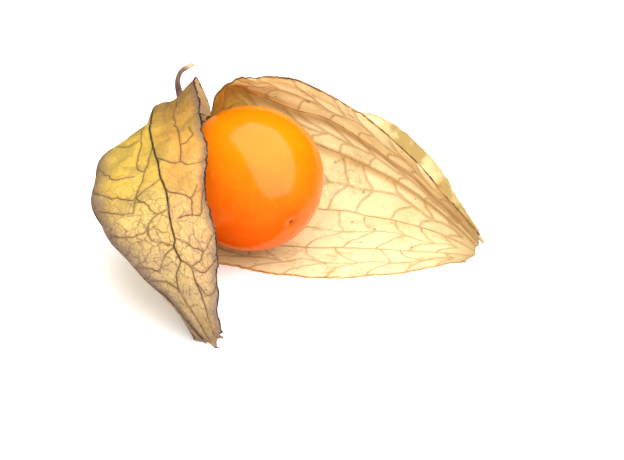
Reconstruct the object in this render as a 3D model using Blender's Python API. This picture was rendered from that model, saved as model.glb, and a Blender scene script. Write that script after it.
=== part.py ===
"""A ripe physalis: the round berry in its papery husk, which is torn open into two petals.

Metres, +Z up. The origin is on the ground, straight below the middle of the berry, which
rests on the floor of the husk. The stem leaves at the back left. The shorter petal hangs down
to the front left, and the longer one lies out to the right.
"""

import math
import random

import bmesh
import bpy
import numpy as np
from mathutils import Vector

MM = 0.001
GAP = 0.3
MERGE = 0.01

# The husk is paper thin in life. This wall is the least that keeps a sound solid.
WALL = 0.65
STRONG_RIB = 0.6
FINE_RIB = 0.4
SIDE_VEIN = 0.3

# The berry, and the line through it from its stalk to its blossom end
BERRY_RADIUS = 10.0
BERRY_CENTRE = np.array([0.0, 0.0, WALL + GAP + BERRY_RADIUS])
FRUIT_AXIS = np.array([0.56, -0.785, -0.263])
BERRY_SEGMENTS = 40
BERRY_RINGS = 26
STALK_DIMPLE = 0.35
STALK_DIMPLE_REACH = 3.0
STYLE_DIMPLE = 0.12
STYLE_DIMPLE_REACH = 2.0

# The collar where the husk closes round the stem. Its ribs leave it evenly, like spokes.
COLLAR_RADIUS = 1.45
COLLAR_TO_BERRY_CENTRE = 12.3
SPOKE_LENGTH = 2.9
TORN_RIBS = (0, 10, 11)
TORN_SPOKE_LENGTH = 2.2
SPOKE_RISE = 0.5
FIRST_RIB_ANGLE = -18.0
RIB_STEP_ANGLE = 36.0

# The ribs of the husk, each at eight stations from the shoulder to the tip, in millimetres
LEFT_PETAL = {
    0: [(-7.8, 8.0, 22.1), (-6.6, 0.5, 20.8), (-5.6, -7.5, 19.1), (-5.3, -14.5, 17.1),
        (-4.2, -19.5, 14.2), (-3.6, -23.5, 10.0), (-3.6, -25.6, 5.0), (-3.6, -26.0, 0.6)],
    1: [(-12.4, 8.8, 17.3), (-13.4, 3.0, 17.2), (-12.6, -4.5, 16.7), (-11.4, -10.5, 15.6),
        (-10.0, -16.5, 13.8), (-8.0, -22.0, 10.2), (-6.0, -25.4, 5.7), (-4.2, -26.2, 0.6)],
    2: [(-13.6, 9.1, 14.5), (-17.6, 4.0, 14.0), (-20.1, -2.5, 13.8), (-20.4, -9.0, 12.2),
        (-18.0, -15.2, 10.2), (-13.8, -20.6, 7.9), (-8.8, -24.7, 5.2), (-4.9, -26.3, 0.6)],
    3: [(-12.8, 7.2, 9.5), (-15.6, 1.5, 7.0), (-16.9, -4.5, 6.0), (-16.6, -9.7, 5.2),
        (-13.8, -14.5, 4.2), (-10.8, -18.8, 3.3), (-8.0, -23.2, 2.4), (-5.5, -26.3, 0.6)],
    4: [(-10.0, 5.5, 6.0), (-8.5, 0.5, 1.6), (-9.8, -5.5, 0.6), (-10.0, -10.5, 0.4),
        (-9.2, -15.2, 0.4), (-7.9, -19.2, 0.4), (-6.8, -22.8, 0.4), (-6.2, -26.1, 0.5)],
}
RIGHT_PETAL = {
    4: [(-10.0, 5.5, 6.0), (-8.5, 0.5, 1.6), (-2.5, -5.0, 0.3), (5.5, -7.8, 0.4),
        (13.5, -8.3, 0.8), (21.0, -6.8, 0.6), (26.8, -4.6, 0.4), (30.2, -3.4, 0.4)],
    5: [(-7.6, 8.4, 4.8), (-4.5, 4.5, 1.0), (1.0, 1.5, 0.3), (7.5, 0.2, 0.3),
        (14.5, 0.0, 0.3), (21.5, -0.8, 0.3), (27.5, -1.6, 0.3), (30.8, -2.4, 0.3)],
    6: [(-4.2, 12.4, 6.4), (0.0, 12.0, 2.8), (5.5, 11.5, 1.4), (11.5, 10.6, 0.9),
        (17.5, 9.0, 0.8), (23.3, 6.3, 0.6), (28.2, 2.4, 0.5), (31.2, -1.3, 0.4)],
    7: [(-2.4, 14.2, 12.4), (2.0, 15.2, 11.0), (7.5, 15.2, 9.5), (12.8, 14.5, 7.4),
        (18.2, 12.4, 5.6), (23.6, 8.8, 3.6), (28.4, 4.0, 1.8), (31.5, -0.5, 0.8)],
    8: [(-2.9, 13.0, 17.9), (0.0, 13.3, 17.5), (5.0, 13.8, 15.0), (10.9, 14.0, 12.6),
        (16.5, 13.0, 9.5), (22.3, 10.0, 6.2), (28.1, 5.0, 2.7), (31.6, 0.1, 1.1)],
    10: [(-4.6, 10.0, 19.4), (-1.6, 8.6, 21.8), (4.5, 8.2, 22.4), (10.5, 9.8, 19.0),
         (16.5, 10.4, 14.8), (22.4, 8.5, 9.9), (28.1, 4.4, 4.7), (31.7, 0.9, 1.8)],
    11: [(-4.6, 10.0, 19.4), (-1.6, 8.6, 21.8), (4.7, 9.8, 22.4), (11.0, 11.8, 19.2),
         (17.2, 12.6, 15.3), (24.4, 10.2, 10.4), (29.1, 5.2, 4.9), (31.7, 1.7, 2.2)],
}
LEFT_SPAN = (0, 4)
RIGHT_SPAN = (4, 11)

# Rib 0 and rib 10 are one rib, torn in two above the berry. Rib 4 is torn in two below it.
# Past rib 10 a strip of the sheet is folded outwards, from a torn step to the tip.
FLOOR_RIB = 4
RIM_RIB = 10
TOP_TEAR_STATION = 1
FLOOR_TEAR_STATION = 3
RIM_STRIP_STATION = 5.8

# The mesh: rows between one station and the next, and where the columns lie between two ribs.
# The rows slant forward between strong ribs, and every few of them one is a side vein.
ROWS = (3, 5, 6, 5, 5, 5, 5, 5, 4)
COLUMNS = (0.0, 0.13, 0.5, 0.87)
COLUMNS_AT_RIM = (0.0, 0.5)
CREASE = 0.35
ROW_SLANT = 0.8
ROWS_PER_VEIN = 4
TORN_EDGE = 0.085
EDGE_SEED = 11
WAVE = 0.35

# Under the berry its weight presses the floor flat, and no rib stands up there. The sheet is itself
# again past these distances from the middle, or above these heights.
FLAT_FLOOR = (6.0, 9.5)
LOW_FLOOR = (1.5, 4.0)
# The husk touches the ground at three feet: two bumps beside the berry and one near the long tip. The
# flat patch between them is a hair higher. The rest of the floor is clear of the ground, but it comes
# down again towards the tip of the short petal.
FEET = [(-4.8, 4.8), (-3.0, -4.8), (30.6, -2.4)]
PATCH = (3.0, 4.5)
PATCH_LIFT = 0.02
FLOOR_LIFT = 0.4
SHORT_TIP = (-25.0, -18.0)
CLEARANCE = 0.02

# The stem, from the berry's stalk end out through the collar, and its radius along the way
STEM_SIDES = 10
RECEPTACLE_RADIUS = 2.3
RECEPTACLE_THICKNESS = 0.9
STEM_RADIUS = 0.75
STEM_TIP_RADIUS = 0.38
STEM_STEPS = 26
STEM_FOOT = 1.4
STEM_STRAIGHT = 3.6
STEM_BEND = [(-9.9, 13.6, 15.9), (-10.7, 14.1, 17.5), (-10.9, 14.2, 18.9), (-10.7, 14.1, 20.1),
             (-10.0, 14.0, 21.1), (-8.6, 14.0, 21.9)]


def unit(vector):
    return np.asarray(vector, float) / np.linalg.norm(vector)


FRUIT_AXIS = unit(FRUIT_AXIS)
UP_ACROSS = unit(np.array([0.0, 0.0, 1.0]) - FRUIT_AXIS[2] * FRUIT_AXIS)
SIDE_ACROSS = np.cross(FRUIT_AXIS, UP_ACROSS)
COLLAR_CENTRE = BERRY_CENTRE - COLLAR_TO_BERRY_CENTRE * FRUIT_AXIS


def smooth_step(value, start, end):
    t = min(max((value - start) / (end - start), 0.0), 1.0)
    return t * t * (3.0 - 2.0 * t)


def smooth_curve(knots, points, at):
    """A smooth curve through the points, which stand at the given knots."""
    points = np.asarray(points, float)
    span = min(max(np.searchsorted(knots, at, side="right") - 1, 0), len(knots) - 2)
    slopes = np.gradient(points, np.asarray(knots, float), axis=0)
    step = knots[span + 1] - knots[span]
    t = (at - knots[span]) / step
    start_weight = 2 * t**3 - 3 * t**2 + 1
    return (start_weight * points[span] + (1 - start_weight) * points[span + 1]
            + (t**3 - 2 * t**2 + t) * step * slopes[span] + (t**3 - t**2) * step * slopes[span + 1])


def spoke(rib):
    """Where a rib leaves the collar, and where it bends over to the shoulder."""
    angle = math.radians(FIRST_RIB_ANGLE + RIB_STEP_ANGLE * min(rib, RIM_RIB))
    outward = math.cos(angle) * UP_ACROSS + math.sin(angle) * SIDE_ACROSS
    length = TORN_SPOKE_LENGTH if rib in TORN_RIBS else SPOKE_LENGTH
    return [COLLAR_CENTRE + COLLAR_RADIUS * outward,
            COLLAR_CENTRE + length * outward - SPOKE_RISE * FRUIT_AXIS]


def rib_point(petal, rib, station):
    """A point on a rib. Between two stations it moves at an even pace."""
    points = np.array(spoke(rib) + petal[rib])
    lengths = np.linalg.norm(np.diff(points, axis=0), axis=1)
    distances = np.concatenate([[0.0], np.cumsum(lengths)])
    return smooth_curve(distances, points, np.interp(station, range(len(points)), distances))


def husk_point(petal, station, place):
    """A point of the husk's middle surface, at a station along it and a place between its ribs."""
    if (place == 0 or place >= RIM_RIB) and station < TOP_TEAR_STATION:
        return (rib_point(LEFT_PETAL, 0, station) + rib_point(RIGHT_PETAL, RIM_RIB, station)) / 2
    if place == FLOOR_RIB and station < FLOOR_TEAR_STATION:
        return (rib_point(LEFT_PETAL, FLOOR_RIB, station) + rib_point(RIGHT_PETAL, FLOOR_RIB, station)) / 2
    ribs = sorted(petal)
    row = np.array([rib_point(petal, rib, station) for rib in ribs])
    rounded = smooth_curve(ribs, row, place)
    straight = np.array([np.interp(place, ribs, row[:, axis]) for axis in range(3)])
    return CREASE * straight + (1 - CREASE) * rounded


def from_strong_rib(place):
    """How far a place lies from the nearest even-numbered rib, from 0 on it to 1 halfway."""
    return abs(place - 2 * round(place / 2))


def station_rows():
    rows = [start + step / count for start, count in enumerate(ROWS) for step in range(count)]
    return rows + [float(len(ROWS))]


def column_places(first, last, row):
    """Where the columns of a row stand: close to the ribs halfway, evenly near the collar and the tip."""
    even = max(1 - smooth_step(row, 0.5, 2.0), smooth_step(row, 5.2, 7.2))
    places = []
    for rib in range(first, last):
        shares = COLUMNS if rib < RIM_RIB - 1 else COLUMNS_AT_RIM
        for index, share in enumerate(shares):
            places.append(rib + share + even * (index / len(shares) - share))
    return places + [float(last)]


def rise_of(row, place, station):
    """How much thicker the husk is here, where a rib or a side vein runs."""
    tip = 1 - smooth_step(station, 6.5, 8.3)
    collar = smooth_step(station, 0.2, 1.5)
    on_rib = place == round(place)
    if on_rib and place < RIM_RIB:
        return (STRONG_RIB if from_strong_rib(place) == 0 else FINE_RIB) * tip * collar
    side = 0 if place % 2 < 1 else ROWS_PER_VEIN // 2
    on_vein = (row + side) % ROWS_PER_VEIN == 0
    return SIDE_VEIN * tip * collar if on_vein and place < RIM_RIB else 0.0


def add_petal(bm, petal, span, layers, rng):
    """One petal as a grid of faces. Its rows slant forward between the strong ribs, as its veins do."""
    rows = station_rows()
    columns = len(column_places(*span, 0))
    grid = bmesh.ops.create_grid(bm, x_segments=columns - 1, y_segments=len(rows) - 1, size=1)["verts"]
    station_layer, place_layer, rise_layer = layers
    for index, vert in enumerate(grid):
        row, column = divmod(index, columns)
        place = column_places(*span, rows[row])[column]
        slant = ROW_SLANT * smooth_step(rows[row], 0.5, 3.0) * (1 - smooth_step(rows[row], 6.5, 9.0))
        station = rows[row] + slant * from_strong_rib(place)
        torn = rng.random() * TORN_EDGE * smooth_step(rows[row], 3.3, 5.0)
        at = place
        if column == 0:
            at = place + torn
        elif column == columns - 1:
            at = place - torn
        vert.co = Vector(husk_point(petal, station, at) * MM)
        vert[station_layer] = station
        vert[place_layer] = place
        vert[rise_layer] = rise_of(row, place, station)
    return grid


def wave_at(point):
    """A gentle unevenness, as dry paper has."""
    x, y, z = point
    return (math.sin(0.55 * x + 0.31 * y + 0.9 * z) + math.sin(0.83 * y - 0.37 * x + 1.1)
            + 0.6 * math.sin(1.15 * x + 0.72 * z - 0.45 * y)) / 2.6


def settle(bm, layers):
    """Waves the sheet, keeps it off the berry, and lets it down on the ground where it is low."""
    station_layer, place_layer, rise_layer = layers
    bm.normal_update()
    for vert in bm.verts:
        point = np.array(vert.co) / MM
        normal = np.array(vert.normal)
        lifted = max(smooth_step(math.hypot(point[0], point[1]), *FLAT_FLOOR), smooth_step(point[2], *LOW_FLOOR))
        vert[rise_layer] *= lifted
        half = (WALL + vert[rise_layer]) / 2
        free = smooth_step(vert[station_layer], 1.5, 4.0) * (1 - smooth_step(vert[station_layer], 7.5, 9.0))
        point = point + WAVE * free * wave_at(point) * normal
        away = point - BERRY_CENTRE
        distance = np.linalg.norm(away)
        least = BERRY_RADIUS + GAP + half + CLEARANCE
        if distance < least:
            point = BERRY_CENTRE + away * least / distance
        clear = smooth_step(math.hypot(point[0], point[1]), *PATCH) * smooth_step(point[1], *SHORT_TIP)
        lift = PATCH_LIFT + (FLOOR_LIFT - PATCH_LIFT) * clear
        point[2] = half + lift + max(point[2] - half - lift, 0.0) * lifted
        vert.co = Vector(point * MM)
    low = [vert for vert in bm.verts if vert.co.z < LOW_FLOOR[1] * MM]
    for x, y in FEET:
        foot = min(low, key=lambda vert: math.hypot(vert.co.x / MM - x, vert.co.y / MM - y))
        foot.co.z = (WALL + foot[rise_layer]) / 2 * MM


def material(name, colour, roughness):
    made = bpy.data.materials.new(name)
    made.use_nodes = True
    shader = made.node_tree.nodes["Principled BSDF"]
    shader.inputs["Base Color"].default_value = (*colour, 1.0)
    shader.inputs["Roughness"].default_value = roughness
    shader.inputs["Metallic"].default_value = 0.0
    return made


def add_object(name, bm, surface):
    mesh = bpy.data.meshes.new(name)
    bm.to_mesh(mesh)
    bm.free()
    mesh.materials.append(surface)
    made = bpy.data.objects.new(name, mesh)
    bpy.context.scene.collection.objects.link(made)
    return made


def husk():
    """The calyx: one sheet closed round the stem, torn above and below, thickened along its ribs."""
    rng = random.Random(EDGE_SEED)
    bm = bmesh.new()
    layers = [bm.verts.layers.float.new(name) for name in ("station", "place", "rise")]
    station_layer, place_layer, rise_layer = layers
    add_petal(bm, LEFT_PETAL, LEFT_SPAN, layers, rng)
    add_petal(bm, RIGHT_PETAL, RIGHT_SPAN, layers, rng)
    before_strip = [face for face in bm.faces
                    if min(vert[place_layer] for vert in face.verts) >= RIM_RIB
                    and min(vert[station_layer] for vert in face.verts) < RIM_STRIP_STATION - 0.001]
    bmesh.ops.delete(bm, geom=before_strip, context="FACES")
    bmesh.ops.remove_doubles(bm, verts=bm.verts, dist=MERGE * MM)
    bmesh.ops.recalc_face_normals(bm, faces=bm.faces)
    settle(bm, layers)
    thickest = WALL + STRONG_RIB
    weights = [(WALL + vert[rise_layer]) / thickest for vert in bm.verts]
    made = add_object("husk", bm, material("dry_husk", (0.55, 0.38, 0.16), 0.75))
    group = made.vertex_groups.new(name="thickness")
    for index, weight in enumerate(weights):
        group.add([index], weight, "REPLACE")
    solidify = made.modifiers.new("wall", "SOLIDIFY")
    solidify.thickness = thickest * MM
    solidify.offset = 0.0
    solidify.vertex_group = group.name
    solidify.use_even_offset = False
    made.data.shade_smooth()
    return made


def berry():
    """A round berry, dimpled where the stalk joins, with the scar of the style at the far end."""
    bm = bmesh.new()
    bmesh.ops.create_uvsphere(bm, u_segments=BERRY_SEGMENTS, v_segments=BERRY_RINGS, radius=BERRY_RADIUS * MM)
    turn = Vector((0.0, 0.0, 1.0)).rotation_difference(Vector(FRUIT_AXIS)).to_matrix()
    for vert in bm.verts:
        along = vert.co.normalized().z
        from_stalk = math.acos(max(-1.0, min(1.0, -along))) * BERRY_RADIUS
        from_style = math.acos(max(-1.0, min(1.0, along))) * BERRY_RADIUS
        dimple = STALK_DIMPLE * (1 - smooth_step(from_stalk, 0.0, STALK_DIMPLE_REACH))
        scar = STYLE_DIMPLE * (1 - smooth_step(from_style, 0.0, STYLE_DIMPLE_REACH))
        vert.co = turn @ (vert.co * (1 - (dimple + scar) / BERRY_RADIUS))
    bmesh.ops.translate(bm, verts=bm.verts, vec=Vector(BERRY_CENTRE * MM))
    made = add_object("berry", bm, material("berry_skin", (1.0, 0.32, 0.01), 0.3))
    made.data.shade_smooth()
    return made


def ring(bm, centre, direction, radius):
    """A circle of points square to a direction."""
    across = unit(np.cross(direction, SIDE_ACROSS))
    other = np.cross(direction, across)
    circle = []
    for side in range(STEM_SIDES):
        turn = 2 * math.pi * side / STEM_SIDES
        spoke_out = math.cos(turn) * across + math.sin(turn) * other
        circle.append(bm.verts.new(Vector((centre + radius * spoke_out) * MM)))
    return circle


def stem():
    """The stalk: a flat receptacle on the berry, then a stem out through the collar, curving up."""
    stalk_end = BERRY_CENTRE - (BERRY_RADIUS + GAP) * FRUIT_AXIS
    profile = [(0.0, 0.55 * RECEPTACLE_RADIUS), (0.3 * RECEPTACLE_THICKNESS, RECEPTACLE_RADIUS),
               (0.8 * RECEPTACLE_THICKNESS, 0.92 * RECEPTACLE_RADIUS),
               (RECEPTACLE_THICKNESS, 0.5 * RECEPTACLE_RADIUS), (STEM_FOOT, STEM_RADIUS)]
    stations = [(stalk_end - depth * FRUIT_AXIS, radius) for depth, radius in profile]
    route = [stalk_end - depth * FRUIT_AXIS for depth in (STEM_FOOT, STEM_STRAIGHT)]
    route += [np.array(point) for point in STEM_BEND]
    for step in range(1, STEM_STEPS + 1):
        share = step / STEM_STEPS
        radius = STEM_RADIUS + (STEM_TIP_RADIUS - STEM_RADIUS) * smooth_step(share, 0.1, 0.75)
        stations.append((smooth_curve(range(len(route)), route, share * (len(route) - 1)), radius))
    centres = np.array([centre for centre, radius in stations])
    directions = np.gradient(centres, axis=0)
    bm = bmesh.new()
    loops = []
    for (centre, radius), direction in zip(stations, directions):
        loops.append(ring(bm, centre, unit(direction), radius))
    for near, far in zip(loops, loops[1:]):
        for side in range(STEM_SIDES):
            after = (side + 1) % STEM_SIDES
            bm.faces.new((near[side], near[after], far[after], far[side]))
    bm.faces.new(loops[0][::-1])
    bm.faces.new(loops[-1])
    bmesh.ops.recalc_face_normals(bm, faces=bm.faces)
    made = add_object("stem", bm, material("dry_stem", (0.13, 0.075, 0.05), 0.8))
    made.data.shade_smooth()
    return made


for old in list(bpy.data.objects):
    bpy.data.objects.remove(old, do_unlink=True)
berry()
husk()
stem()
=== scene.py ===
# %% [markdown]
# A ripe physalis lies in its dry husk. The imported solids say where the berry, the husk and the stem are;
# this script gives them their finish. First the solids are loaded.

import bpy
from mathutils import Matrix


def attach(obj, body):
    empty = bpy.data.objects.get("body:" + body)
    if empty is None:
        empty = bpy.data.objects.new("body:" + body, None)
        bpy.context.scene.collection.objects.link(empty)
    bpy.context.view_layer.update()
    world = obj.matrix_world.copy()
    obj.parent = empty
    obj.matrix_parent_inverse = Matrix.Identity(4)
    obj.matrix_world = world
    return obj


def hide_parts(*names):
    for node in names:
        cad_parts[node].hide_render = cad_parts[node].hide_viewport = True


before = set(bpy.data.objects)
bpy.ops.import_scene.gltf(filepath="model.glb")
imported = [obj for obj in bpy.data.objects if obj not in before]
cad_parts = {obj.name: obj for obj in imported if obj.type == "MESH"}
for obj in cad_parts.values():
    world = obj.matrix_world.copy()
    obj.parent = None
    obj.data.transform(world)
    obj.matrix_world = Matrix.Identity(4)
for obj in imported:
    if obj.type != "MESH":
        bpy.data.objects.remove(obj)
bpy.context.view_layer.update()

# %% [markdown]
# Everything below is thought out in millimetres, because a berry and a leaf are millimetre things.
# Blender's own unit is the metre, so points are multiplied by MM at the very end. Many points are worked
# out at once with numpy, which is far quicker than one at a time. The last three tools turn a bmesh into
# a mesh and link an object to the scene.

# %% Small tools
import math
import random

import bmesh
import bpy
import numpy as np
from mathutils import Matrix, Vector, kdtree

MM = 0.001


def unit(vector):
    return np.asarray(vector, float) / np.linalg.norm(vector)


def smooth_step(value, start, end):
    t = np.clip((np.asarray(value, float) - start) / (end - start), 0.0, 1.0)
    return t * t * (3.0 - 2.0 * t)


def smooth_curve(knots, points, at):
    """A smooth curve through points that stand at the knots, read at many places at once."""
    knots, points, at = (np.asarray(part, float) for part in (knots, points, at))
    slopes = np.gradient(points, knots, axis=0)
    span = np.clip(np.searchsorted(knots, at, side="right") - 1, 0, len(knots) - 2)
    wide = at.shape + (1,) * (points.ndim - 1)
    step = (knots[span + 1] - knots[span]).reshape(wide)
    t = (at - knots[span]).reshape(wide) / step
    start_weight = 2 * t**3 - 3 * t**2 + 1
    return (start_weight * points[span] + (1 - start_weight) * points[span + 1]
            + (t**3 - 2 * t**2 + t) * step * slopes[span] + (t**3 - t**2) * step * slopes[span + 1])


def distances_along_line(points):
    """How far each point of a line is from its start, in millimetres."""
    steps = np.linalg.norm(np.diff(points, axis=0), axis=1)
    return np.concatenate([[0.0], np.cumsum(steps)])


def as_mesh(bm, name):
    """Turns a finished bmesh into a mesh."""
    mesh = bpy.data.meshes.new(name)
    bm.to_mesh(mesh)
    bm.free()
    return mesh


def linked_object(name, data):
    """An object at the origin, linked to the scene."""
    thing = bpy.data.objects.new(name, data)
    bpy.context.scene.collection.objects.link(thing)
    return thing


def smooth_piece(name, mesh):
    """A piece of the fruit, shaded smooth."""
    mesh.shade_smooth()
    print(name, "has", len(mesh.polygons), "faces")
    return linked_object(name, mesh)


# %% [markdown]
# The camera stands where the photographer stood: a little above the fruit, looking down on it from the
# front. It stands far off with a long lens, because the near end of the husk is hardly larger than the
# far end.

# %% The camera
IMAGE_WIDTH = 624
PIXELS_PER_MM = 7.3
CAMERA_TILT = math.radians(28.0)
CAMERA_DISTANCE = 300.0
SENSOR = 36.0
AIM = np.array([8.356, -3.28, 4.73])

looking = np.array([0.0, math.cos(CAMERA_TILT), -math.sin(CAMERA_TILT)])
camera_place = AIM - CAMERA_DISTANCE * looking
lens = bpy.data.cameras.new("photo_camera")
lens.sensor_width = SENSOR
lens.lens = PIXELS_PER_MM * CAMERA_DISTANCE / IMAGE_WIDTH * SENSOR
lens.clip_start = 0.01
camera = linked_object("photo_camera", lens)
camera.location = Vector(camera_place * MM)
camera.rotation_euler = (math.radians(90.0) - CAMERA_TILT, 0.0, 0.0)
bpy.context.scene.camera = camera
print("lens of", round(lens.lens, 1), "mm at", camera_place.round(1))

# %% [markdown]
# The husk is the calyx of the flower, grown into a paper lantern with ten ribs and torn open by hand.
# Its shape is a cage of ribs. Each rib is a smooth line through points on its way from the collar round
# the stem to the tip, and the sheet is stretched from rib to rib. A place on the sheet is given by two
# numbers: the station along it, from 0 at the collar to 9 at the tip, and the rib it is at. Rib 4 is
# torn in two under the berry and ribs 0 and 10 are one rib, torn above it, so there are two petals.

# %% The cage of ribs
BERRY_RADIUS = 10.0
BERRY_GAP = 0.3
SOLID_WALL = 0.65
BERRY_CENTRE = np.array([0.0, 0.0, SOLID_WALL + BERRY_GAP + BERRY_RADIUS])
FRUIT_AXIS = unit([0.56, -0.785, -0.263])
COLLAR_RADIUS = 0.95
COLLAR_TO_BERRY_CENTRE = 12.3
SPOKE_LENGTH = 2.9
TORN_RIBS = (0, 10, 11)
TORN_SPOKE_LENGTH = 2.2
SPOKE_RISE = 0.5
FIRST_RIB_ANGLE = -18.0
RIB_STEP_ANGLE = 36.0
RIM_RIB = 10
SILHOUETTE_PLACE = 2.06
CREASE = {"left": 0.35, "right": 0.75}

LEFT_PETAL = {
    0: [(-7.5, 8.0, 22.1), (-6.6, 0.5, 20.8), (-5.6, -7.5, 19.1), (-5.3, -14.5, 17.1),
        (-4.2, -19.5, 14.2), (-3.6, -23.5, 10.0), (-3.6, -25.6, 5.0), (-3.6, -26.0, 0.6)],
    1: [(-12.4, 8.8, 17.3), (-13.4, 3.0, 17.2), (-12.6, -4.5, 16.7), (-11.4, -10.5, 15.6),
        (-10.0, -16.5, 13.8), (-8.0, -22.0, 10.2), (-6.0, -25.4, 5.7), (-4.2, -26.2, 0.6)],
    2: [(-13.6, 9.1, 14.5), (-17.6, 4.0, 14.0), (-20.1, -2.5, 13.8), (-20.4, -9.0, 12.2),
        (-18.0, -15.2, 10.2), (-13.8, -20.6, 7.9), (-8.8, -24.7, 5.2), (-4.9, -26.3, 0.6)],
    3: [(-12.8, 7.2, 9.5), (-15.6, 1.5, 7.0), (-16.9, -4.5, 6.0), (-16.6, -9.7, 5.2),
        (-13.8, -14.5, 4.2), (-10.8, -18.8, 3.3), (-8.0, -23.2, 2.4), (-5.5, -26.3, 0.6)],
    4: [(-10.0, 5.5, 6.0), (-8.5, 0.5, 1.6), (-9.8, -5.5, 0.6), (-10.0, -10.5, 0.4),
        (-9.2, -15.2, 0.4), (-7.9, -19.2, 0.4), (-6.8, -22.8, 0.4), (-6.2, -26.1, 0.5)],
}
RIGHT_PETAL = {
    4: [(-10.0, 5.5, 6.0), (-8.5, 0.5, 1.6), (-2.5, -5.0, 0.3), (5.5, -7.8, 0.4),
        (13.5, -8.3, 0.8), (21.0, -6.8, 0.6), (26.8, -4.6, 0.4), (30.2, -3.4, 0.4)],
    5: [(-7.6, 8.4, 4.8), (-4.5, 4.5, 1.0), (1.0, 1.5, 0.3), (7.5, 0.2, 0.3),
        (14.5, 0.0, 0.3), (21.5, -0.8, 0.3), (27.5, -1.6, 0.3), (30.8, -2.4, 0.3)],
    6: [(-4.2, 12.4, 6.4), (0.0, 12.0, 2.8), (5.5, 11.5, 1.4), (11.5, 10.6, 0.9),
        (17.5, 9.0, 0.8), (23.3, 6.3, 0.6), (28.2, 2.4, 0.5), (31.2, -1.3, 0.4)],
    7: [(-2.4, 14.2, 12.4), (2.0, 15.2, 11.0), (7.5, 15.2, 9.5), (12.8, 14.5, 7.4),
        (18.2, 12.4, 5.6), (23.6, 8.8, 3.6), (28.4, 4.0, 1.8), (31.5, -0.5, 0.8)],
    8: [(-2.9, 13.0, 18.8), (0.0, 13.3, 17.3), (5.0, 13.8, 15.0), (10.9, 14.0, 12.8),
        (16.5, 13.0, 9.5), (22.3, 10.0, 6.2), (28.1, 5.0, 2.7), (31.6, 0.1, 1.1)],
    10: [(-4.6, 10.0, 19.4), (-1.6, 8.6, 21.8), (4.5, 8.2, 22.4), (10.5, 9.8, 19.0),
         (16.5, 10.4, 14.8), (22.4, 8.5, 9.9), (28.1, 4.4, 4.7), (31.7, 0.9, 1.8)],
    11: [(-4.6, 10.0, 19.4), (-1.6, 8.6, 21.8), (4.7, 9.8, 22.4), (11.0, 11.8, 19.2),
         (17.2, 12.6, 15.3), (24.4, 10.2, 10.4), (29.1, 5.2, 4.9), (31.7, 1.7, 2.2)],
}
LAST_STATION = 9

UP_ACROSS = unit(np.array([0.0, 0.0, 1.0]) - FRUIT_AXIS[2] * FRUIT_AXIS)
SIDE_ACROSS = np.cross(FRUIT_AXIS, UP_ACROSS)
COLLAR_CENTRE = BERRY_CENTRE - COLLAR_TO_BERRY_CENTRE * FRUIT_AXIS


def spoke(rib):
    """Where a rib leaves the collar, and where it bends over to the shoulder."""
    angle = math.radians(FIRST_RIB_ANGLE + RIB_STEP_ANGLE * min(rib, RIM_RIB))
    outward = math.cos(angle) * UP_ACROSS + math.sin(angle) * SIDE_ACROSS
    length = TORN_SPOKE_LENGTH if rib in TORN_RIBS else SPOKE_LENGTH
    return [COLLAR_CENTRE + COLLAR_RADIUS * outward,
            COLLAR_CENTRE + length * outward - SPOKE_RISE * FRUIT_AXIS]


def rib_line(petal, rib, stations):
    """Points on a rib. Between two stations it moves at an even pace."""
    points = np.array(spoke(rib) + petal[rib])
    distances = distances_along_line(points)
    return smooth_curve(distances, points, np.interp(stations, range(len(points)), distances))


print("the collar stands at", COLLAR_CENTRE.round(2), "and each petal has", len(LEFT_PETAL), "and",
      len(RIGHT_PETAL), "ribs")

# %% [markdown]
# A leaf is never a clean net of squares. The sheet is stretched over the ribs, then it gets slow waves,
# as dry paper has. It is kept off the berry, and where it is low it lies down flat on the ground. The
# solid husk is thicker than life, so the sheet lies near its outer side.

# %% The sheet between the ribs
TOP_TEAR = 0.75
FLOOR_TEAR = 3.0
TOP_OPENS, FLOOR_OPENS = 0.35, 1.2
JOIN_REACH = 0.6
WAVE = 0.35
SHEET = 0.14
OUTWARD = 0.4
SHOULDER_LIFT, HOLLOW_DEPTH, LOWER_PANEL_DEPTH = 0.5, 0.9, 0.5
SADDLE_PLACES = (0.0, 0.1, 0.25, 0.45, 0.65, 0.78, 0.9, 1.0)
SADDLE_DEPTHS = (0.0, -0.2, -0.5, -0.85, -1.1, -0.9, -0.25, 0.0)
NOTCH_MOVE = np.array([0.6, 0.0, -0.9])
STRIP_STARTS, STRIP_IS_WIDE = 5.6, 6.3
PLEAT_HEIGHT, RIM_LOBE_HEIGHT = 0.14, 0.35
FLAT_FLOOR = (6.0, 9.5)
LOW_FLOOR = (1.5, 4.0)
GROUND_REACH = (0.5, 3.0)
SEEN_GAP = 0.15


def wave_at(points):
    x, y, z = points[..., 0], points[..., 1], points[..., 2]
    return (np.sin(0.55 * x + 0.31 * y + 0.9 * z) + np.sin(0.83 * y - 0.37 * x + 1.1)
            + 0.6 * np.sin(1.15 * x + 0.72 * z - 0.45 * y)) / 2.6


def joined_edge(stations, rib, other_petal, other_rib, petal, tear, opens):
    """How far an edge moves to meet the other petal's edge, up to where the tear between them starts."""
    apart = rib_line(other_petal, other_rib, stations) - rib_line(petal, rib, stations)
    return apart / 2 * (1 - smooth_step(stations, tear, tear + opens))[:, None]


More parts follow.
